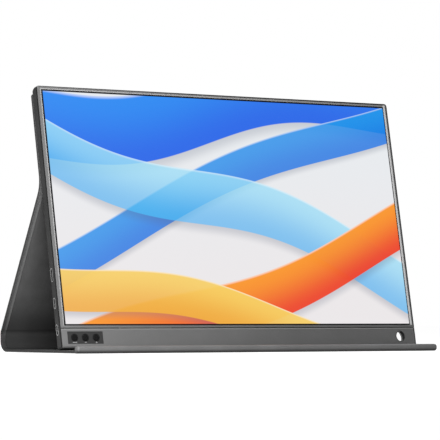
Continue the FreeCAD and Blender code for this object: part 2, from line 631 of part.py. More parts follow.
layer_span = ("-layer_side", "layer_side")
guide_span = ("guide_front", "guide_back")
box("optical_films", SCREEN, (layer_span, ("tray_front", "guide_front"), ("layer_low", "layer_high")))
box("light_guide", SCREEN, (layer_span, guide_span, ("layer_low + led_height + led_gap", "layer_high")))
box("led_strip", SCREEN, (layer_span, guide_span, ("layer_low", "layer_low + led_height")))
box("reflector_sheet", SCREEN, (layer_span, ("guide_back", "tray_floor"), ("layer_low", "layer_high")))

# Electronics: driver strip, main board, sockets, flat cable, speakers and magnets

box("driver_board", SCREEN, (("-driver_reach", "driver_reach"), ("stack_back", "driver_back"),
                             ("driver_rise", "driver_rise + driver_height")))
board = new_body("mainboard", SCREEN)
sketch = sketch_on(board, "XZ_Plane", "-board_front")
outline(sketch, rectangle("board_left", "board_right", "board_rise", "board_rise + board_height"))
for place in SCREW_PLACES:
    circle(sketch, place, "screw_diameter/2 + screw_hole_gap")
pad(board, sketch, "board_thickness", backwards=True)
sketch = sketch_on(board, "XZ_Plane", "cut_overrun - board_front")
for label, length, thickness, rise in SOCKETS:
    outline(sketch, rectangle("board_left - cut_overrun", "socket_end + socket_gap",
                              "%s - %s/2 - socket_gap" % (rise, length), "%s + %s/2 + socket_gap" % (rise, length)))
pocket(board, sketch, "board_thickness + 2*cut_overrun")

screws = []
for index, place in enumerate(SCREW_PLACES):
    head = disc("screw_head_%d" % index, SCREEN, place, "board_front - screw_head_height",
                "screw_head_diameter", "screw_head_height")
    shank = disc("screw_shank_%d" % index, SCREEN, place, "board_front", "screw_diameter", "screw_length")
    screw = doc.addObject("Part::Fuse", "screw_%d" % index)
    screw.Base = head
    screw.Tool = shank
    screws.append(screw)
group("board_screws", screws)

tongues = []
for label, length, thickness, rise in SOCKETS:
    socket = new_body(label, SCREEN)
    sketch = sketch_on(socket, "YZ_Plane", "-monitor_width/2")
    stadium(sketch, ("cavity_middle", rise), length, thickness)
    pad(socket, sketch, "socket_depth")
    sketch = sketch_on(socket, "YZ_Plane", "-monitor_width/2 - cut_overrun")
    stadium(sketch, ("cavity_middle", rise), length + " - 2*socket_wall", thickness + " - 2*socket_wall")
    pocket(socket, sketch, "socket_depth - socket_back + cut_overrun", along_normal=True)
    inner_end = "socket_end - socket_back"
    tongues.append(box(label + "_tongue", SCREEN,
                       ((inner_end + " - tongue_length", inner_end),
                        ("cavity_middle - tongue_thickness/2", "cavity_middle + tongue_thickness/2"),
                        ("%s - %s/2 + tongue_side" % (rise, length), "%s + %s/2 - tongue_side" % (rise, length))),
                       kept=False))
group("port_tongues", tongues)

ribbon = new_body("ribbon_cable", SCREEN)
sketch = sketch_on(ribbon, "XY_Plane", "ribbon_rise")
outline(sketch, [("board_right - ribbon_overlap", "board_front - ribbon_thickness"),
                 ("board_right", "board_front - ribbon_thickness"),
                 ("-driver_reach", "driver_back"),
                 ("-driver_reach + ribbon_overlap", "driver_back"),
                 ("-driver_reach + ribbon_overlap", "driver_back + ribbon_thickness"),
                 ("-driver_reach", "driver_back + ribbon_thickness"),
                 ("board_right", "board_front"),
                 ("board_right - ribbon_overlap", "board_front")])
pad(ribbon, sketch, "ribbon_width")

for label, middle in SPEAKERS:
    box(label, SCREEN, ((middle + " - speaker_width/2", middle + " + speaker_width/2"),
                        ("rear_wall - speaker_thickness", "rear_wall"),
                        ("speaker_rise", "speaker_rise + speaker_height")))
magnets("monitor_magnets", SCREEN, "magnet_rise", "rear_wall - magnet_thickness", "magnet_thickness")

# Every object has to be whole before anything is written

doc.recompute()
for item in doc.Objects:
    if {"Invalid", "Error"} & set(item.State):
        raise RuntimeError("%s failed: %s" % (item.Label, item.State))
for item in subparts:
    if item.Shape.isNull() or not item.Shape.isValid():
        raise RuntimeError(item.Label + " has no valid shape")

os.makedirs("parts", exist_ok=True)
for item in subparts:
    item.Shape.exportStep("parts/%s.step" % item.Label)
print("%d nodes, support leans %.2f degrees, length %.2f" % (len(subparts), lean, support_length))
print("folds:", UPPER_FOLD, SPINE_FOLD, BASE_FOLD, "screen:", SCREEN.Base)
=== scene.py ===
import json
import math
import bpy
import numpy as np
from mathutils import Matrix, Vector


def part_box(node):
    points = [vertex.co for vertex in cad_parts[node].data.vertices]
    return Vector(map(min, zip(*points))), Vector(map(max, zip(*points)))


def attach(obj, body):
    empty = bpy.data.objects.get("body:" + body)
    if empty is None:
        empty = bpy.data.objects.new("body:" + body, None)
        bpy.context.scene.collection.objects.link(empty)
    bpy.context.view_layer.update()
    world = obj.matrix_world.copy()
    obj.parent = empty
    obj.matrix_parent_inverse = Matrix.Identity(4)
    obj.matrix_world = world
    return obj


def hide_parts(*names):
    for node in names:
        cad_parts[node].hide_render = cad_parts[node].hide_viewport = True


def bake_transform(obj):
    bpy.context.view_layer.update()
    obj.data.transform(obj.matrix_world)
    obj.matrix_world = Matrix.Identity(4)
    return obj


# Portable monitor standing in its folding cover: looks, light and camera.
# The scene is in metres, X to the viewer's right, Y to the back, Z up.
# Lengths that are named below are in millimetres, unless a heading says otherwise.

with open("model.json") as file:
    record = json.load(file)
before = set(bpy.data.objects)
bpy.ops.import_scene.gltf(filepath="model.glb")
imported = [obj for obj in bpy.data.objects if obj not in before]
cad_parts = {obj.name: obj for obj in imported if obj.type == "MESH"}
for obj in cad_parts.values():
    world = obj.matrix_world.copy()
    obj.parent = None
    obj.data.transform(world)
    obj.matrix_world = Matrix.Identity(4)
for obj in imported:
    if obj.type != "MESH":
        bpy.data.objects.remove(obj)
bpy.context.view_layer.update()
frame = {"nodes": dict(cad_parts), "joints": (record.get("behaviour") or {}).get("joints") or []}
nodes = frame["nodes"]
joints = {joint["name"]: joint for joint in frame["joints"]}

MM = 0.001


def mm(*lengths):
    """Lengths in millimetres as metres."""
    return tuple(length * MM for length in lengths)


def fold_line(hinge):
    """Place of one of the cover's hinges in the side view, as (y, z)."""
    return np.array(joints[hinge]["pos_m"][1:]) / MM


def middle_across(node):
    """Middle of a node's box from left to right."""
    low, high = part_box(node)
    return (low.x + high.x) / 2.0 / MM


# The cover's folded sheet: its middle line in the side view, its width and thickness, corners and hems

BASE_FOLD = fold_line("stand_fold")
SPINE_FOLD = fold_line("spine_bend")
UPPER_FOLD = fold_line("back_bend")
BASE_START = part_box("base_skin")[0].y / MM
BACK_PANEL_HEIGHT = 77.0
COVER_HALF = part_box("base_skin")[1].x / MM
SHEET_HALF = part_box("base_lining")[1].z / MM / 2.0
CORNER = 2.4
HEM = 4.5
HEM_STEP = 0.2
FACE_MARGIN = 9.0
EDGE_DROP = 0.16
EDGE_DEPTH = 1.15
PRESSED_LINE = 3.2
LINE_WIDTH = 0.28
LINE_DEPTH = 0.16
BED_LEVEL = -0.58
LINING_GAP = 0.32

# The monitor, measured across from its middle, up from its lower edge and back from its face.
# Its screen foot is the lower front edge in the side view, as (y, z).

PRESS_AXIS = joints["menu_press"]["axis"]
TILT = math.atan2(-PRESS_AXIS[2], PRESS_AXIS[1])
SCREEN_FOOT = (-37.7, 3.8012)
MONITOR_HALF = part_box("rear_cover")[1].x / MM
MONITOR_TOP = 217.8
CHIN_TOP = 16.4
OPENING_HALF = 173.4
OPENING_FOOT = 18.7
OPENING_TOP = 214.9
PICTURE_HALF = 172.1
PICTURE_SHIFT = 0.4
PICTURE_FOOT = 20.0
PICTURE_HEIGHT = 193.6
CONTROL_RISE = 8.8
BUTTONS = ("menu_button", "minus_button", "plus_button")
SOCKETS = tuple(label for label in nodes if "_port" in label)
BUTTON_MIDDLES = tuple(middle_across(button) for button in BUTTONS)
SIGN_RISE = 4.95
SIGN_FRONT = 0.17
SIGN_BACK = 0.21

# Bands of the finishes and of the painted shade and highlights, each from where it begins to change to where
# it ends, with the share that it covers.
# The frame's bands widen from the left to the right by its spread, so that the painted highlight on the bevel
# and the painted shade on the outer edge grow towards the right, as the light falls from the left.

# Painted shade round the cover's two lower folds, along the sheet.
FOLD_SHADE_RISE = (80.0, 112.0)
FOLD_SHADE_FALL = (138.0, 172.0)
FOLD_SHADE_SHARE = 0.75
# Painted highlight along the inner side of the hems, from the lower fold upwards.
HEM_HIGHLIGHT_INSET = (1.0, 4.4)
HEM_HIGHLIGHT_START = (125.0, 150.0)
HEM_HIGHLIGHT_SHARE = 0.5
DARK_EDGE = (0.3, 1.1)
EDGE_DARKENED = 0.85
FRAME_LIGHT_SHADE_SPREAD = (0.9, 1.9)
FRAME_BEVEL_HIGHLIGHT = (0.6, 1.1)
FRAME_ROUNDING = (0.5, 1.1)
# Painted highlight along the chin's rounded top edge.
CHIN_HIGHLIGHT_RISE = (CHIN_TOP - 1.3, CHIN_TOP - 0.7)
CHIN_HIGHLIGHT_FALL = (CHIN_TOP, CHIN_TOP + 0.3)
CHIN_HIGHLIGHT_SHARE = 0.6
# Painted shade at the bead's foot, up from the floor.
BEAD_FOOT_SHADE = (0.4, 3.6)
BUTTON_RING = (3.1, 3.6)


# Shapes

def smooth_step(value):
    """A soft ramp from 0 to 1: three squares less two cubes of the value held between 0 and 1."""
    held = np.clip(value, 0.0, 1.0)
    return held * held * (3.0 - 2.0 * held)


def heading(turn):
    """Direction along the sheet for an angle from +Y towards +Z, as (y, z)."""
    return np.stack((np.cos(turn), np.sin(turn)), axis=-1)


def outward(turn):
    """Normal of the outer skin for the same angle: the heading turned a quarter to the right."""
    return np.stack((np.sin(turn), -np.cos(turn)), axis=-1)


def straight_run(start, end, ends_share=0.12, count=36):
    """Points between two ends, closer together near both, with the one heading that they share."""
    share = np.linspace(0.0, 1.0, count)
    eased = (1.0 - ends_share) * smooth_step(share) + ends_share * share
    line = start + eased[:, None] * (end - start)
    turn = math.atan2(*(end - start)[::-1])
    return line, np.full(count, turn), eased * np.linalg.norm(end - start)


def bend_reach(turn, radius):
    """How far before a fold's corner its arc begins: radius times the tangent of half the turn."""
    return radius * math.tan(abs(turn) / 2.0)


def bent_run(fold, first, last, radius, count=33):
    """Points of the arc that touches both headings: its centre lies a radius to the inside of the start."""
    side = math.copysign(1.0, last - first)
    turn = np.linspace(first, last, count)
    start = fold - bend_reach(last - first, radius) * heading(first)
    centre = start - side * radius * outward(first)
    return centre + side * radius * outward(turn), turn, radius * np.abs(turn - first)


def mirrored(share, inset, level):
    """The right half of a section, then its mirror image without the two points in the middle."""
    back = slice(-2, 0, -1)
    return (np.concatenate((share, -share[back])), np.concatenate((inset, -inset[back])),
            np.concatenate((level, level[back])))


def skin_section():
    """Section of the wrapped skin as (share of the half width, inset from the edge, level from -1 to 1).

    Outer face with a pressed line near each edge, a half-round edge, the turned-in hem, and a shallow bed for
    the lining. Levels are shares of half the thickness, and the pressed line is a bell curve of the inset.
    """
    face = np.linspace(0.0, 1.0, 15)
    across_line = PRESSED_LINE + np.linspace(0.5, -0.5, 5)
    outer_inset = np.concatenate(((FACE_MARGIN, 6.5, 4.6), across_line, (2.0, 1.5)))
    outer_level = 1.0 - EDGE_DROP * (1.0 - smooth_step(outer_inset / FACE_MARGIN))
    outer_level -= LINE_DEPTH * np.exp(-((outer_inset - PRESSED_LINE) / LINE_WIDTH) ** 2)
    arc = np.linspace(0.5 * math.pi, -0.5 * math.pi, 13)
    edge_inset = EDGE_DEPTH * (1.0 - np.cos(arc))
    edge_level = np.interp(np.sin(arc), (-1.0, 1.0), (-0.96, 0.86))
    hem_inset = np.array((1.6, 2.6, 3.6, HEM - HEM_STEP, HEM, HEM + 0.1, HEM + 0.25))
    hem_level = np.array((-0.98, -1.0, -1.0, -0.98, -0.86, -0.64, BED_LEVEL))
    rim = np.ones(len(outer_inset) + len(arc) + len(hem_inset))
    share = np.concatenate((face, rim, face[::-1]))
    inset = np.concatenate((FACE_MARGIN * face, outer_inset, edge_inset, hem_inset,
                            hem_inset[-1] * face[::-1]))
    level = np.concatenate((np.ones_like(face), outer_level, edge_level, hem_level,
                            np.full_like(face, BED_LEVEL)))
    return mirrored(share, inset, level)


def lining_section():
    """Section of the lining in the same terms: a thin slab inside the hem with softly rounded long edges."""
    face = np.linspace(0.0, 1.0, 15)
    arc = np.linspace(-0.5 * math.pi, 0.5 * math.pi, 7)
    rim = HEM + LINING_GAP
    edge_inset = rim + 0.18 * (1.0 - np.cos(arc))
    edge_level = -0.74 + 0.19 * np.sin(arc)
    share = np.concatenate((face, np.ones_like(arc), face[::-1]))
    inset = np.concatenate((rim * face, edge_inset, rim * face[::-1]))
    level = np.concatenate((np.full_like(face, -0.94), edge_level, np.full_like(face, -0.56)))
    return mirrored(share, inset, level)


WRINKLES = (
    # spacing along the sheet, length of the wander across it, phase, weight
    (2.3, 31.0, 0.4, 0.35),
    (3.7, 53.0, 2.1, 0.40),
    (6.1, 97.0, 4.4, 0.25),
)


def wrinkles(across, along):
    """Fine folds along the crease: sines of the arc length whose phase wanders slowly across the sheet."""
    total = np.zeros(np.broadcast(across, along).shape)
    for spacing, wander, phase, weight in WRINKLES:
        drift = 1.6 * np.sin(2.0 * math.pi * across / wander + phase)
        patch = 0.55 + 0.45 * np.sin(2.0 * math.pi * across / (1.7 * wander) + 3.0 * phase)
        total += weight * patch * np.sin(2.0 * math.pi * along / spacing + drift + phase)
    return total


def middle_swell(length):
    """0 at both ends of a run and 1 in its middle: the squared sine of half a turn's share of its length."""
    return np.sin(math.pi * length / length[-1]) ** 2


def sweep(run, section, start_length, half_width=None, thickness_share=None, crumple=0.0, bulge=0.0):
    """Carries a section along a run: line plus outward normal times level, with the width beside it.

    A bulge and the wrinkles add to the level in the run's middle. Gives the points in metres as rows by
    columns, and the flat coordinates: across and along the sheet.
    """
    line, turn, length = run
    share, inset, level = section
    half_width = np.full(len(line), COVER_HALF) if half_width is None else half_width
    thickness_share = np.ones(len(line)) if thickness_share is None else thickness_share
    across = share[None, :] * half_width[:, None] - inset[None, :]
    along = np.broadcast_to((start_length + length)[:, None], across.shape)
    lift = SHEET_HALF * thickness_share[:, None] * level[None, :]
    lift = lift + middle_swell(length)[:, None] * (bulge + crumple * wrinkles(across, along))
    spot = line[:, None, :] + lift[..., None] * outward(turn)[:, None, :]
    points = np.concatenate((across[..., None], spot), axis=-1) * MM
    return points, np.stack((across, along), axis=-1) * MM


def tube_faces(rows, columns):
    """Quads of a closed tube of rows by columns, and a flat many-sided cap at each end."""
    row, column = np.meshgrid(np.arange(rows - 1), np.arange(columns), indexing="ij")
    after = (column + 1) % columns
    quads = np.stack((row * columns + column, row * columns + after,
                      (row + 1) * columns + after, (row + 1) * columns + column), axis=-1)
    first = np.arange(columns)[::-1]
    last = (rows - 1) * columns + np.arange(columns)
    return quads.reshape(-1, 4).tolist() + [first.tolist(), last.tolist()]


def add_piece(name, points, faces, material, flat=None, sharp=35.0):
    """A mesh object at the origin from points, faces and flat coordinates, turned outwards.

    It is shaded smooth, apart from edges that turn by more than the sharp angle in degrees.
    """
    mesh = bpy.data.meshes.new(name)
    mesh.from_pydata(points.reshape(-1, 3).tolist(), [], faces)
    corners = np.empty(len(mesh.loops), dtype=np.int32)
    mesh.loops.foreach_get("vertex_index", corners)
    if flat is not None:
        layer = mesh.uv_layers.new(name="flat")
        layer.data.foreach_set("uv", flat.reshape(-1, 2)[corners].astype(np.float32).ravel())
    if enclosed_volume(mesh) < 0.0:
        mesh.flip_normals()
    mesh.polygons.foreach_set("use_smooth", np.ones(len(mesh.polygons), dtype=bool))
    mesh.set_sharp_from_angle(angle=math.radians(sharp))
    mesh.materials.append(material)
    mesh.update()
    piece = bpy.data.objects.new(name, mesh)
    bpy.context.scene.collection.objects.link(piece)
    return piece


def enclosed_volume(mesh):
    """Signed volume: a sixth of the sum of the triple products of the mesh's triangles."""
    mesh.calc_loop_triangles()
    spots = np.empty(3 * len(mesh.vertices), dtype=np.float32)
    mesh.vertices.foreach_get("co", spots)
    spots = spots.reshape(-1, 3).astype(float)
    triangles = np.empty(3 * len(mesh.loop_triangles), dtype=np.int32)
    mesh.loop_triangles.foreach_get("vertices", triangles)
    a, b, c = np.moveaxis(spots[triangles.reshape(-1, 3)], 1, 0)
    return float(np.sum(a * np.cross(b, c)) / 6.0)


# Node trees

def grey(value):
    """An even grey as a colour."""
    return (value, value, value, 1.0)


def add_node(tree, kind, inputs=(), **settings):
    """A node with its settings, and its inputs set or linked by name or number."""
    node = tree.nodes.new("ShaderNode" + kind)
    for name, value in settings.items():
        setattr(node, name, value)
    for name, value in dict(inputs).items():
        feed(tree, node.inputs[name], value)
    return node


def feed(tree, socket, value):
    """Links an output to the socket, or sets the socket's own value."""
    if isinstance(value, bpy.types.NodeSocket):
        tree.links.new(value, socket)
    else:
        socket.default_value = value


def maths(tree, operation, *values):
    """Output of a Math node on up to three values."""
    return add_node(tree, "Math", dict(enumerate(values)), operation=operation).outputs[0]


def part_of(tree, vector, axis):
    """One coordinate of a vector."""
    return add_node(tree, "SeparateXYZ", {0: vector}).outputs[axis]


def ramp(tree, value, low, high, to_low=0.0, to_high=1.0, soft=True):
    """Output of a Map Range node, smooth or straight, held at both ends."""
    node = add_node(tree, "MapRange", {"Value": value, "From Min": low, "From Max": high,
                                       "To Min": to_low, "To Max": to_high})
    node.interpolation_type = "SMOOTHSTEP" if soft else "LINEAR"
    return node.outputs["Result"]


def band(tree, value, rise, fall, most=1.0):
    """A soft band: up to most between the rise's two values, and back to 0 between the fall's two."""
    return maths(tree, "MULTIPLY", ramp(tree, value, *rise, 0.0, most), ramp(tree, value, *fall, 1.0, 0.0))


def mixed(tree, share, first, second):
    """Colour output of a Mix node."""
    node = add_node(tree, "Mix", data_type="RGBA")
    for name, value in (("Factor_Float", share), ("A_Color", first), ("B_Color", second)):
        feed(tree, next(item for item in node.inputs if item.identifier == name), value)
    return next(item for item in node.outputs if item.identifier == "Result_Color")


def new_group(name, inputs, outputs):
    """An empty node group with its named sockets: (name, kind, value) going in, (name, kind) coming out."""
    tree = bpy.data.node_groups.new(name, "ShaderNodeTree")
    for label, kind, value in inputs:
        socket = tree.interface.new_socket(label, in_out="INPUT", socket_type="NodeSocket" + kind)
        if value is not None:
            socket.default_value = value
    for label, kind in outputs:
        tree.interface.new_socket(label, in_out="OUTPUT", socket_type="NodeSocket" + kind)
    return tree, tree.nodes.new("NodeGroupInput").outputs, tree.nodes.new("NodeGroupOutput").inputs


def place_group(tree, group, **inputs):
    """The group's outputs in a material, with its inputs given by name."""
    node = tree.nodes.new("ShaderNodeGroup")
    node.node_tree = group
    for name, value in inputs.items():
        feed(tree, node.inputs[name], value)
    return node.outputs


# Effects that materials share

def pebble_group():
    """Leather pebbles: soft cells with fine pores, as a height and a tone."""
    tree, given, out = new_group("leather_pebbles", [("Vector", "Vector", None), ("Cells", "Float", 1000.0)],
                                 [("Height", "Float"), ("Tone", "Float")])
    bend = add_node(tree, "TexNoise", {"Vector": given["Vector"], "Scale": 240.0, "Detail": 2.0})
    moved = add_node(tree, "VectorMath", {0: bend.outputs["Color"], 1: mm(1.2, 1.2, 1.2)},
                     operation="MULTIPLY")
    spot = add_node(tree, "VectorMath", {0: given["Vector"], 1: moved.outputs[0]}, operation="ADD")
    cells = add_node(tree, "TexVoronoi", {"Vector": spot.outputs[0], "Scale": given["Cells"],
                                          "Smoothness": 0.55}, feature="SMOOTH_F1")
    pores = add_node(tree, "TexNoise", {"Vector": given["Vector"], "Scale": 5200.0, "Detail": 1.0})
    crown = ramp(tree, cells.outputs["Distance"], 0.12, 0.62, 1.0, 0.0)
    feed(tree, out["Height"], maths(tree, "MULTIPLY_ADD", pores.outputs[0], 0.22, crown))
    feed(tree, out["Tone"], crown)
    return tree


def fibre_group():
    """Short brushed fibres: stretched noise in two directions, as a height and a tone."""
    tree, given, out = new_group("brushed_fibres", [("Vector", "Vector", None)],
                                 [("Height", "Float"), ("Tone", "Float")])
    lines = []
    for scale in ((900.0, 5200.0, 5200.0), (4800.0, 1300.0, 1300.0)):
        spread = add_node(tree, "Mapping", {"Vector": given["Vector"], "Scale": scale})
        strands = add_node(tree, "TexNoise", {"Vector": spread.outputs[0], "Scale": 1.0, "Detail": 2.0})
        lines.append(strands.outputs[0])
    nap = add_node(tree, "TexNoise", {"Vector": given["Vector"], "Scale": 55.0, "Detail": 3.0})
    both = maths(tree, "MULTIPLY", maths(tree, "ADD", *lines), 0.5)
    feed(tree, out["Height"], both)
    feed(tree, out["Tone"], maths(tree, "MULTIPLY_ADD", nap.outputs[0], 0.5,
                                  maths(tree, "MULTIPLY", both, 0.5)))
    return tree


def blast_group():
    """Bead-blasted surface: fine pits with a slow change of gloss, as a height and a gloss level."""
    tree, given, out = new_group("blasted_finish", [("Vector", "Vector", None), ("Pits", "Float", 7000.0)],
                                 [("Height", "Float"), ("Polish", "Float")])
    pits = add_node(tree, "TexNoise", {"Vector": given["Vector"], "Scale": given["Pits"], "Detail": 2.0})
    slow = add_node(tree, "TexNoise", {"Vector": given["Vector"], "Scale": 26.0, "Detail": 3.0})
    feed(tree, out["Height"], pits.outputs[0])
    feed(tree, out["Polish"], maths(tree, "MULTIPLY_ADD", pits.outputs[0], 0.35,
                                    maths(tree, "MULTIPLY", slow.outputs[0], 0.65)))
    return tree


def ribbon_group():
    """One translucent ribbon over a colour: a wavy line, a tint across it, a bright rim and a soft shadow.

    Inside is where the height differs from the line by less than the half width, and the line is middle plus
    slope times across plus a sine. The shadow lies just below the ribbon and fades away from it.
    """
    tree, given, out = new_group(
        "screen_ribbon",
        [("Under", "Color", None), ("Across", "Float", 0.0), ("Height", "Float", 0.0),
         ("Middle", "Float", 0.0), ("Slope", "Float", 0.0), ("Swell", "Float", 0.0), ("Waves", "Float", 1.0),
         ("Phase", "Float", 0.0), ("Half", "Float", 0.1), ("Low", "Color", None), ("High", "Color", None),
         ("Cover", "Float", 1.0)],
        [("Colour", "Color")])
    angle = maths(tree, "MULTIPLY_ADD", given["Across"], given["Waves"], given["Phase"])
    swell = maths(tree, "MULTIPLY", maths(tree, "SINE", angle), given["Swell"])
    straight = maths(tree, "MULTIPLY_ADD", given["Across"], given["Slope"], given["Middle"])
    above = maths(tree, "SUBTRACT", given["Height"], maths(tree, "ADD", straight, swell))
    apart = maths(tree, "DIVIDE", above, given["Half"])
    inside = ramp(tree, maths(tree, "ABSOLUTE", apart), 0.985, 1.015, 1.0, 0.0)
    tint = mixed(tree, ramp(tree, apart, -1.0, 1.0), given["Low"], given["High"])
    rim = maths(tree, "MULTIPLY", ramp(tree, apart, 0.90, 1.0, 0.0, 0.5), inside)
    tint = mixed(tree, rim, tint, grey(1.0))
    shade = band(tree, apart, (-1.45, -1.0), (-1.0, -0.98), 0.32)
    under = mixed(tree, shade, given["Under"], (0.10, 0.13, 0.22, 1.0))
    feed(tree, out["Colour"], mixed(tree, maths(tree, "MULTIPLY", inside, given["Cover"]), under, tint))
    return tree


PEBBLES = pebble_group()
FIBRES = fibre_group()
BLAST = blast_group()
RIBBON = ribbon_group()


# Materials

# Dark grey for the painted shade at the folds and for the cover's dark edges.
FOLD_SHADE_AND_EDGE_GREY = grey(0.02)
METAL_PITS = 7000.0


def shader_inputs(tree):
    """Inputs of the one shader in a material's tree."""
    return next(node for node in tree.nodes if node.type == "BSDF_PRINCIPLED").inputs


def new_material(name, **sockets):
    """A material, its tree, its shader's inputs with plain values set on them, and Object coordinates.

    A blank in an input's name is written as an underscore.
    """
    material = bpy.data.materials.new(name)
    material.use_nodes = True
    tree = material.node_tree
    shader = shader_inputs(tree)
    for label, value in sockets.items():
        shader[label.replace("_", " ")].default_value = value
    return material, tree, shader, add_node(tree, "TexCoord").outputs["Object"]


def reopened(material):
    """A finished material's tree, shader inputs, the colour that it has so far, and Object coordinates."""
    tree = material.node_tree
    shader = shader_inputs(tree)
    colour = shader["Base Color"].links[0].from_socket
    return tree, shader, colour, add_node(tree, "TexCoord").outputs["Object"]


def relief(tree, shader, height, depth, strength):
    """Feeds a height from 0 to 1 to the shader's normal, as relief of a depth in millimetres."""
    bump = add_node(tree, "Bump", {"Height": height, "Distance": depth * MM, "Strength": strength})
    feed(tree, shader["Normal"], bump.outputs[0])


def sheet_length(tree):
    """Distance along the flat sheet from its front edge, in metres, as the piece's own map holds it."""
    return part_of(tree, add_node(tree, "UVMap", uv_map="flat").outputs[0], "Y")


def painted_fold_shade(tree, colour, along):
    """The colour with a band of painted shade round the two lower folds, soft at both sides: it stands in for
    the shade inside the cover behind the monitor.
    """
    return mixed(tree, band(tree, along, mm(*FOLD_SHADE_RISE), mm(*FOLD_SHADE_FALL), FOLD_SHADE_SHARE), colour, FOLD_SHADE_AND_EDGE_GREY)


def screen_spot(tree, place):
    """Distances in metres across from the middle and up from the lower edge of the tilted monitor."""
    turned = add_node(tree, "Mapping", {"Vector": place, "Rotation": (TILT, 0.0, 0.0)})
    spot = add_node(tree, "SeparateXYZ", {0: turned.outputs[0]}).outputs
    foot = MM * (math.sin(TILT) * SCREEN_FOOT[0] + math.cos(TILT) * SCREEN_FOOT[1])
    return spot["X"], maths(tree, "SUBTRACT", spot["Z"], foot)


def leatherette(name, dark, light, hem_highlight_colour, cells):
    """Pressed leatherette: pebbles with darker valleys, a slow change of tone, painted shade round the two
    lower folds, a painted highlight along the hems of the upper panels, and dark edges.
    """
    material, tree, shader, place = new_material(name, Specular_IOR_Level=0.22)
    grain = place_group(tree, PEBBLES, Vector=place, Cells=cells)
    slow = add_node(tree, "TexNoise", {"Vector": place, "Scale": 18.0, "Detail": 4.0})
    tone = maths(tree, "MULTIPLY_ADD", slow.outputs[0], 0.5, maths(tree, "MULTIPLY", grain["Tone"], 0.5))
    inset = maths(tree, "SUBTRACT", COVER_HALF * MM, maths(tree, "ABSOLUTE", part_of(tree, place, "X")))
    along = sheet_length(tree)
    # Painted highlight along the hems' inner side, on the upper panels only.
    hem_highlight = maths(tree, "MULTIPLY", band(tree, inset, mm(*HEM_HIGHLIGHT_INSET), mm(HEM, HEM + HEM_STEP)),
                 ramp(tree, along, *mm(*HEM_HIGHLIGHT_START), 0.0, HEM_HIGHLIGHT_SHARE))
    # Painted shade round the two lower folds.
    colour = painted_fold_shade(tree, mixed(tree, ramp(tree, tone, 0.2, 0.85), dark, light), along)
    colour = mixed(tree, hem_highlight, colour, hem_highlight_colour)
    edge = ramp(tree, inset, *mm(*DARK_EDGE), EDGE_DARKENED, 0.0)
    feed(tree, shader["Base Color"], mixed(tree, edge, colour, FOLD_SHADE_AND_EDGE_GREY))
    feed(tree, shader["Roughness"], ramp(tree, tone, 0.2, 0.9, 0.62, 0.44))
    relief(tree, shader, grain["Height"], 0.09, 0.55)
    return material


def microfibre(name, dark, light):
    """Matt lining cloth with a short nap, and painted shade round the two lower folds."""
    material, tree, shader, place = new_material(name, Specular_IOR_Level=0.1, Roughness=0.9)
    nap = place_group(tree, FIBRES, Vector=place)
    colour = mixed(tree, ramp(tree, nap["Tone"], 0.15, 0.85), dark, light)
    # Painted shade round the two lower folds.
    feed(tree, shader["Base Color"], painted_fold_shade(tree, colour, sheet_length(tree)))
    relief(tree, shader, nap["Height"], 0.06, 0.5)
    return material


def satin_metal(name, dark, light, metallic, rough, shine=0.5):
    """Blasted and anodised metal: fine pits and a slow change of gloss."""
    material, tree, shader, place = new_material(name, Metallic=metallic, Specular_IOR_Level=shine)
    finish = place_group(tree, BLAST, Vector=place, Pits=METAL_PITS)
    feed(tree, shader["Base Color"], mixed(tree, ramp(tree, finish["Polish"], 0.3, 0.7), dark, light))
    feed(tree, shader["Roughness"], ramp(tree, finish["Polish"], 0.3, 0.7, rough + 0.06, rough - 0.04))
    relief(tree, shader, finish["Height"], 0.02, 0.4)
    return material


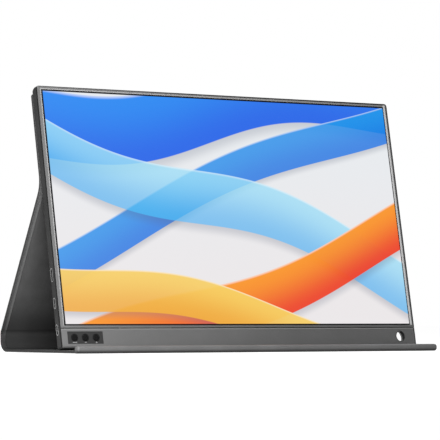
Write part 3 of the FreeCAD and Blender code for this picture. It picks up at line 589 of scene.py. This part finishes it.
def frame_metal(name, dark, light, metallic, rough):
    """The same metal for the frame, with a painted highlight on the bevel beside the screen and a dark
    rounded outer edge.

    The bevel is where the larger distance past the opening's sides or top is small, and the edge where the
    least distance from the sides, the top and the bottom is small. Both widen from the left to the right.
    The bevel's painted highlight is lighter at the left, with a bright line beside the opening's right side,
    and the outer edge is dark like the casing, made wider on the right as painted shade. The lower strip's
    top edge has a fine painted highlight line.
    """
    material = satin_metal(name, dark, light, metallic, rough, shine=0.0)
    tree, shader, colour, place = reopened(material)
    across, height = screen_spot(tree, place)
    side = maths(tree, "ABSOLUTE", across)
    width = mm(-OPENING_HALF, OPENING_HALF)
    spread = ramp(tree, across, *width, *FRAME_LIGHT_SHADE_SPREAD, soft=False)
    past = maths(tree, "MAXIMUM", maths(tree, "SUBTRACT", side, OPENING_HALF * MM),
                 maths(tree, "SUBTRACT", height, OPENING_TOP * MM))
    beside = ramp(tree, maths(tree, "DIVIDE", past, spread), *mm(*FRAME_BEVEL_HIGHLIGHT), 1.0, 0.0)
    bevel = maths(tree, "MULTIPLY", beside, ramp(tree, height, *mm(OPENING_FOOT, OPENING_FOOT + 0.3)))
    margin = maths(tree, "MINIMUM", maths(tree, "SUBTRACT", MONITOR_HALF * MM, side),
                   maths(tree, "MINIMUM", height, maths(tree, "SUBTRACT", MONITOR_TOP * MM, height)))
    rounded = ramp(tree, maths(tree, "DIVIDE", margin, spread), *mm(*FRAME_ROUNDING), 1.0, 0.0)
    # Painted highlight on the bevel: lighter at the left, with a bright line beside the opening's right side.
    bevel_highlight = mixed(tree, ramp(tree, across, *width), grey(0.33), grey(0.24))
    bevel_highlight = mixed(tree, ramp(tree, across, *mm(OPENING_HALF - 1.0, OPENING_HALF)), bevel_highlight, grey(0.62))
    # Painted highlight along the lower strip's top edge.
    line = band(tree, height, mm(*CHIN_HIGHLIGHT_RISE), mm(*CHIN_HIGHLIGHT_FALL), CHIN_HIGHLIGHT_SHARE)
    colour = mixed(tree, line, colour, grey(0.46))
    colour = mixed(tree, bevel, colour, bevel_highlight)
    # Dark outer edge like the casing, made wider on the right as painted shade.
    feed(tree, shader["Base Color"], mixed(tree, rounded, colour, grey(0.018)))
    plain = maths(tree, "MAXIMUM", rounded, bevel)
    feed(tree, shader["Metallic"], ramp(tree, plain, 0.0, 1.0, metallic, 0.0))
    return material


def bead_metal(name, dark, light, metallic, rough):
    """The bead's metal, with painted shade that darkens it from over half of its height down to its foot,
    where it meets the floor.
    """
    material = satin_metal(name, dark, light, metallic, rough, shine=0.25)
    tree, shader, colour, place = reopened(material)
    # Painted shade towards the foot.
    foot = ramp(tree, part_of(tree, place, "Z"), *mm(*BEAD_FOOT_SHADE), 1.0, 0.0)
    feed(tree, shader["Base Color"], mixed(tree, foot, colour, grey(0.006)))
    return material


def moulded(name, dark, light, rough, metallic=0.0, pits=4500.0, shine=0.5):
    """Moulded plastic, coated board or plated steel with a fine even texture."""
    material, tree, shader, place = new_material(name, Metallic=metallic, Specular_IOR_Level=shine)
    finish = place_group(tree, BLAST, Vector=place, Pits=pits)
    feed(tree, shader["Base Color"], mixed(tree, finish["Polish"], dark, light))
    feed(tree, shader["Roughness"], ramp(tree, finish["Polish"], 0.25, 0.75, rough + 0.08, rough - 0.08))
    relief(tree, shader, finish["Height"], 0.03, 0.5)
    return material


def control_plate(name, dark, light, rough):
    """The plate's plastic, black round each button: where the distance from a button's middle is small."""
    material = moulded(name, dark, light, rough, shine=0.3)
    tree, shader, colour, place = reopened(material)
    across, height = screen_spot(tree, place)
    rise = maths(tree, "SUBTRACT", height, CONTROL_RISE * MM)
    ring = 0.0
    for middle in BUTTON_MIDDLES:
        apart = maths(tree, "SUBTRACT", across, middle * MM)
        squares = maths(tree, "MULTIPLY_ADD", apart, apart, maths(tree, "MULTIPLY", rise, rise))
        near = ramp(tree, maths(tree, "SQRT", squares), *mm(*BUTTON_RING), 1.0, 0.0)
        ring = maths(tree, "MAXIMUM", ring, near)
    feed(tree, shader["Base Color"], mixed(tree, ring, colour, grey(0.002)))
    return material


RIBBONS = (
    # middle, slope, swell, waves, phase, half, low colour, high colour, cover
    (0.96, 0.10, 0.06, 3.4, 0.3, 0.150, (0.000, 0.12, 0.80, 1), (0.001, 0.24, 0.88, 1), 0.97),
    (0.62, 0.34, 0.05, 2.6, 1.5, 0.085, (0.004, 0.20, 0.76, 1), (0.01, 0.30, 0.82, 1), 0.93),
    (0.50, -0.30, 0.07, 3.1, 0.6, 0.120, (0.07, 0.46, 0.86, 1), (0.32, 0.72, 0.92, 1), 0.80),
    (0.12, 0.30, 0.05, 2.9, 4.0, 0.110, (0.84, 0.045, 0.004, 1), (0.95, 0.30, 0.004, 1), 0.97),
    (0.02, -0.16, 0.05, 3.3, 2.5, 0.090, (0.86, 0.42, 0.05, 1), (0.92, 0.62, 0.12, 1), 0.95),
)


def screen_glass():
    """Lit screen behind matt glass: pale ground with crossing ribbons, and a black border round it."""
    material, tree, shader, place = new_material("lit_screen", Base_Color=(0.006, 0.006, 0.007, 1),
                                                 Roughness=0.3, Specular_IOR_Level=0.25,
                                                 Emission_Strength=1.0)
    across, height = screen_spot(tree, place)
    height = maths(tree, "DIVIDE", maths(tree, "SUBTRACT", height, PICTURE_FOOT * MM), PICTURE_HEIGHT * MM)
    across = maths(tree, "DIVIDE", maths(tree, "SUBTRACT", across, PICTURE_SHIFT * MM), PICTURE_HALF * MM)
    colour = mixed(tree, ramp(tree, height, 0.0, 1.0), (0.83, 0.80, 0.81, 1), (0.80, 0.83, 0.86, 1))
    for middle, slope, swell, waves, phase, half, low, high, cover in RIBBONS:
        colour = place_group(tree, RIBBON, Under=colour, Across=across, Height=height, Middle=middle,
                             Slope=slope, Swell=swell, Waves=waves, Phase=phase, Half=half, Low=low,
                             High=high, Cover=cover)["Colour"]
    from_middle = (across, maths(tree, "MULTIPLY_ADD", height, 2.0, -1.0))
    within = [ramp(tree, maths(tree, "ABSOLUTE", share), 0.9995, 1.0005, 1.0, 0.0) for share in from_middle]
    feed(tree, shader["Emission Color"], mixed(tree, maths(tree, "MULTIPLY", *within), grey(0.0), colour))
    return material


# The third colour of the skin is the hems' painted highlight.
SKIN = leatherette("cover_leatherette", grey(0.068), grey(0.136), grey(0.26), 1050.0)
LINING = microfibre("cover_lining_cloth", grey(0.058), grey(0.108))
GUNMETAL = frame_metal("satin_gunmetal", grey(0.245), grey(0.295), 0.8, 0.38)
CASING = satin_metal("dark_casing", grey(0.020), grey(0.030), 0.0, 0.5, shine=0.15)
FINISHES = {
    "rear_cover": CASING,
    "front_bezel": GUNMETAL,
    "chin_cover": GUNMETAL,
    "front_bead": bead_metal("bead_gunmetal", grey(0.118), grey(0.158), 0.1, 0.48),
    "lcd_glass": screen_glass(),
    "button_plate": control_plate("control_plate", grey(0.020), grey(0.032), 0.5),
    "pen_hole_sleeve": moulded("hole_lining", grey(0.035), grey(0.06), 0.35, metallic=0.4),
    "port_tongues": moulded("tongue_plastic", grey(0.010), grey(0.02), 0.4),
    "board_screws": moulded("screw_steel", grey(0.45), grey(0.6), 0.3, metallic=1.0),
    "ribbon_cable": moulded("flat_cable", (0.62, 0.58, 0.5, 1), (0.75, 0.72, 0.66, 1), 0.5),
    "led_strip": moulded("light_strip", (0.75, 0.73, 0.6, 1), (0.85, 0.84, 0.75, 1), 0.4),
}
BUTTON = moulded("button_plastic", grey(0.003), grey(0.006), 0.5, shine=0.12)
PORT = satin_metal("nickel_shell", grey(0.55), grey(0.68), 1.0, 0.24)
BOARD_GREEN = moulded("circuit_board", (0.010, 0.055, 0.025, 1), (0.02, 0.09, 0.045, 1), 0.4, pits=900.0)
GREYBOARD = moulded("greyboard", (0.20, 0.19, 0.17, 1), (0.32, 0.30, 0.27, 1), 0.85, pits=1800.0)
CLEAR = moulded("white_sheet", grey(0.72), grey(0.84), 0.45)
STEEL = satin_metal("tray_steel", grey(0.48), grey(0.58), 1.0, 0.35)
BLACK = moulded("black_plastic", grey(0.012), grey(0.022), 0.5)
for finish, labels in ((BUTTON, BUTTONS),
                       (PORT, SOCKETS),
                       (BOARD_GREEN, ("driver_board", "mainboard", "button_board")),
                       (GREYBOARD, ("base_board", "support_board", "back_panel_board")),
                       (CLEAR, ("optical_films", "light_guide", "reflector_sheet")),
                       (STEEL, ("backlight_tray", "dome_switches", "cover_magnets", "monitor_magnets")),
                       (BLACK, ("speaker_left", "speaker_right"))):
    FINISHES.update(dict.fromkeys(labels, finish))
for label, finish in FINISHES.items():
    item = nodes[label]
    if not item.material_slots:
        item.data.materials.append(finish)
    for material_slot in item.material_slots:
        material_slot.material = finish


# Cover: wrapped skin and lining of each panel, and the soft creases between them

SPINE_TURN = 0.5 * math.pi
SUPPORT_TURN = math.atan2(*(UPPER_FOLD - SPINE_FOLD)[::-1])
BACK_TURN = 0.5 * math.pi - TILT
CREASES = {
    # fold line, heading before it, heading after it, radius of the bend
    "base": (BASE_FOLD, 0.0, SPINE_TURN, 8.0),
    "spine": (SPINE_FOLD, SPINE_TURN, SUPPORT_TURN, 15.0),
    "upper": (UPPER_FOLD, SUPPORT_TURN, BACK_TURN, 25.0),
}
THINNED = 0.22
CRUMPLE = 0.09
SPINE_BULGE = 0.55
SKIN_SECTION = skin_section()
LINING_SECTION = lining_section()
LAYERS = (("skin", SKIN_SECTION, SKIN, "cover_skin"), ("lining", LINING_SECTION, LINING, "cover_lining"))


def crease_start(name):
    """Where a crease begins on the folded line."""
    fold, first, last, radius = CREASES[name]
    return fold - bend_reach(last - first, radius) * heading(first)


def crease_end(name):
    """Where a crease ends on the folded line."""
    fold, first, last, radius = CREASES[name]
    return fold + bend_reach(last - first, radius) * heading(last)


def cover_pieces(name, run, start_length, **shaping):
    """Skin and lining of one stretch of the sheet, not yet tied to a body."""
    made = []
    for layer, section, material, slot in LAYERS:
        points, flat = sweep(run, section, start_length, **shaping)
        piece = add_piece("%s_%s" % (name, layer), points, tube_faces(*points.shape[:2]), material, flat)
        made.append(piece)
    return made


def crease_pieces(name, start_length, bulge=0.0):
    """A soft bend, thinner and finely wrinkled in its middle, from one panel's heading to the next.

    Gives its length along the sheet.
    """
    run = bent_run(*CREASES[name])
    thinner = 1.0 - THINNED * middle_swell(run[2])
    made = cover_pieces(name + "_crease", run, start_length, thickness_share=thinner, crumple=CRUMPLE,
                        bulge=bulge)
    for piece in made:
        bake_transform(piece)
    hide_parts(name + "_crease")
    return run[2][-1]


def panel_pieces(name, start, end, start_length, body, skin_nodes, lining_nodes):
    """A stiff panel between two points of the folded line, with the nodes that its skin and lining stand for.

    Gives its length along the sheet.
    """
    run = straight_run(start, end)
    made = cover_pieces(name, run, start_length)
    for piece, replaced in zip(made, (skin_nodes, lining_nodes)):
        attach(piece, body)
        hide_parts(*replaced)
    return run[2][-1]


def back_panel(start_length):
    """The top panel: corners cut as quarter circles, and its top edge rounded off as a half circle."""
    start = crease_end("upper")
    top = UPPER_FOLD + BACK_PANEL_HEIGHT * heading(BACK_TURN)
    length = np.linalg.norm(top - start)
    quarter = np.linspace(0.0, 0.5 * math.pi, 22)[1:]
    left = np.concatenate((np.linspace(length, CORNER, 14), CORNER * (1.0 - np.sin(quarter))))
    left[-1] = 0.0
    run = (top - left[:, None] * heading(BACK_TURN), np.full(len(left), BACK_TURN), length - left)
    corner = np.clip(CORNER - left, 0.0, CORNER)
    half = COVER_HALF - CORNER + np.sqrt(CORNER ** 2 - corner ** 2)
    edge = np.clip(1.0 - left / SHEET_HALF, 0.0, 1.0)
    thickness = np.maximum(np.sqrt(1.0 - edge ** 2), 0.12)
    points, flat = sweep(run, SKIN_SECTION, start_length, half_width=half, thickness_share=thickness)
    skin = add_piece("back_panel_skin_wrap", points, tube_faces(*points.shape[:2]), SKIN, flat)
    short = straight_run(start, top - (HEM + 1.5) * heading(BACK_TURN))
    points, flat = sweep(short, LINING_SECTION, start_length)
    lining = add_piece("back_panel_lining_sheet", points, tube_faces(*points.shape[:2]), LINING, flat)
    for piece, node, slot in ((skin, "back_panel_skin", "cover_skin"),
                              (lining, "back_panel_lining", "cover_lining")):
        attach(piece, "display")
        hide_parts(node)


made_length = panel_pieces("base_panel", np.array((BASE_START, SHEET_HALF)), crease_start("base"), 0.0,
                           "base", ("base_skin",), ("base_lining",))
made_length += crease_pieces("base", made_length)
made_length += panel_pieces("spine_panel", crease_end("base"), crease_start("spine"), made_length,
                            "spine", ("spine_strip",), ())
made_length += crease_pieces("spine", made_length, bulge=SPINE_BULGE)
made_length += panel_pieces("support_panel", crease_end("spine"), crease_start("upper"), made_length,
                            "support", ("support_skin",), ("support_lining",))
made_length += crease_pieces("upper", made_length)
back_panel(made_length)


# Small pale signs under the buttons

def on_screen(across, back, up):
    """Points of the monitor's tilted frame, in millimetres, as points of the scene in metres."""
    y = SCREEN_FOOT[0] + back * math.cos(TILT) + up * math.sin(TILT)
    z = SCREEN_FOOT[1] - back * math.sin(TILT) + up * math.cos(TILT)
    return np.stack(np.broadcast_arrays(across, y, z), axis=-1) * MM


def printed_bars(bars, front, back):
    """Thin blocks from (left, right, low, high) rows: eight corners each, six outward faces each."""
    bars = np.asarray(bars, dtype=float)
    pick = np.array([(x, y, z) for x in (0, 1) for y in (0, 1) for z in (2, 3)])
    across = bars[:, pick[:, 0]]
    up = bars[:, pick[:, 2]]
    depth = np.broadcast_to(np.array((front, back))[pick[:, 1]], across.shape)
    sides = np.array(((0, 1, 3, 2), (4, 6, 7, 5), (0, 4, 5, 1), (2, 3, 7, 6), (0, 2, 6, 4), (1, 5, 7, 3)))
    faces = (8 * np.arange(len(bars))[:, None, None] + sides[None]).reshape(-1, 4)
    return on_screen(across, depth, up), faces.tolist()


def bar(middle, half_width, half_height):
    """Left, right, low and high side of one bar of a sign."""
    return (middle - half_width, middle + half_width, SIGN_RISE - half_height, SIGN_RISE + half_height)


menu_middle, minus_middle, plus_middle = BUTTON_MIDDLES
signs = [bar(menu_middle + step, 0.55, 0.4) for step in (-1.4, 0.0, 1.4)]
signs += [bar(minus_middle, 0.9, 0.3), bar(plus_middle, 0.8, 0.22), bar(plus_middle, 0.22, 0.8)]
points, faces = printed_bars(signs, SIGN_FRONT, SIGN_BACK)
marks = add_piece("control_signs", points, faces, moulded("pale_print", grey(0.24), grey(0.32), 0.6))
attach(marks, "display")


# Floor, light and camera, in metres and degrees

FLOOR_REACH = 6.0
FLOOR_LEVEL = -0.0003
FLOOR_PAINT = 0.50
FLOOR_GLOW = 0.86
WORLD_FILL = 0.26
FLAG_ENDS = ((0.32, -0.85), (0.56, -0.25))
FLAG_HEIGHT = 0.75
CAMERA_PLACE = (-1.2674, -1.9281, 0.0284)
CAMERA_RISE = 2.049
CAMERA_TURN = -33.272
CAMERA_LENS = 223.37


def light_path(tree):
    """1 for rays that should meet the plain white backdrop: camera, glossy and transmission rays."""
    rays = add_node(tree, "LightPath").outputs
    return maths(tree, "MAXIMUM", rays["Is Camera Ray"],
                 maths(tree, "MAXIMUM", rays["Is Glossy Ray"], rays["Is Transmission Ray"]))


def pale_floor():
    """Grey paint that takes the shadow, with a glow that lifts it to white for the rays of the light path."""
    material = bpy.data.materials.new("pale_floor")
    material.use_nodes = True
    tree = material.node_tree
    tree.nodes.clear()
    paint = add_node(tree, "BsdfDiffuse", {"Color": grey(FLOOR_PAINT)})
    glow = add_node(tree, "Emission", {"Color": grey(1.0),
                                       "Strength": maths(tree, "MULTIPLY", light_path(tree), FLOOR_GLOW)})
    both = add_node(tree, "AddShader", {0: paint.outputs[0], 1: glow.outputs[0]})
    add_node(tree, "OutputMaterial", {"Surface": both.outputs[0]})
    return material


def softbox(name, place, target, width, watts):
    """A square lamp at a place, facing a target."""
    data = bpy.data.lights.new(name, "AREA")
    data.energy = watts
    data.size = width
    lamp = bpy.data.objects.new(name, data)
    lamp.location = place
    away = np.array(target) - np.array(place)
    level = math.hypot(away[0], away[1])
    lamp.rotation_euler = (0.5 * math.pi + math.atan2(away[2], level), 0.0, math.atan2(-away[0], away[1]))
    bpy.context.scene.collection.objects.link(lamp)


corners = np.array(((-1.0, -1.0), (1.0, -1.0), (1.0, 1.0), (-1.0, 1.0))) * FLOOR_REACH
floor_points = np.column_stack((corners, np.full(4, FLOOR_LEVEL)))
floor = add_piece("floor", floor_points, [[0, 1, 2, 3]], pale_floor())

world = bpy.data.worlds.new("white_studio")
bpy.context.scene.world = world
world.use_nodes = True
backdrop = next(node for node in world.node_tree.nodes if node.type == "BACKGROUND").inputs
backdrop["Color"].default_value = grey(1.0)
feed(world.node_tree, backdrop["Strength"],
     maths(world.node_tree, "MULTIPLY_ADD", light_path(world.node_tree), 1.0 - WORLD_FILL, WORLD_FILL))

softbox("key_light", (-0.42, -0.50, 0.22), (-0.10, 0.0, 0.09), 0.34, 4.8)
softbox("top_light", (-0.1, 0.15, 1.3), (0.0, 0.0, 0.05), 0.9, 7.0)

# A dark cloth beside the object, which only its glossy surfaces see
near_end, far_end = FLAG_ENDS
flag_points = np.array(((*near_end, 0.0), (*far_end, 0.0), (*far_end, FLAG_HEIGHT), (*near_end, FLAG_HEIGHT)))
flag = add_piece("dark_flag", flag_points, [[0, 1, 2, 3]], moulded("flag_cloth", grey(0.02), grey(0.03), 0.9))
for kind in ("camera", "diffuse", "shadow", "transmission"):
    setattr(flag, "visible_" + kind, False)

camera_data = bpy.data.cameras.new("photo_camera")
camera_data.sensor_fit = "HORIZONTAL"
camera_data.sensor_width = 36.0
camera_data.lens = CAMERA_LENS
camera_data.clip_start = 0.05
camera = bpy.data.objects.new("photo_camera", camera_data)
camera.location = CAMERA_PLACE
camera.rotation_euler = (math.radians(90.0 + CAMERA_RISE), 0.0, math.radians(CAMERA_TURN))
bpy.context.scene.collection.objects.link(camera)
bpy.context.scene.camera = camera
bpy.context.scene.view_settings.view_transform = "Standard"
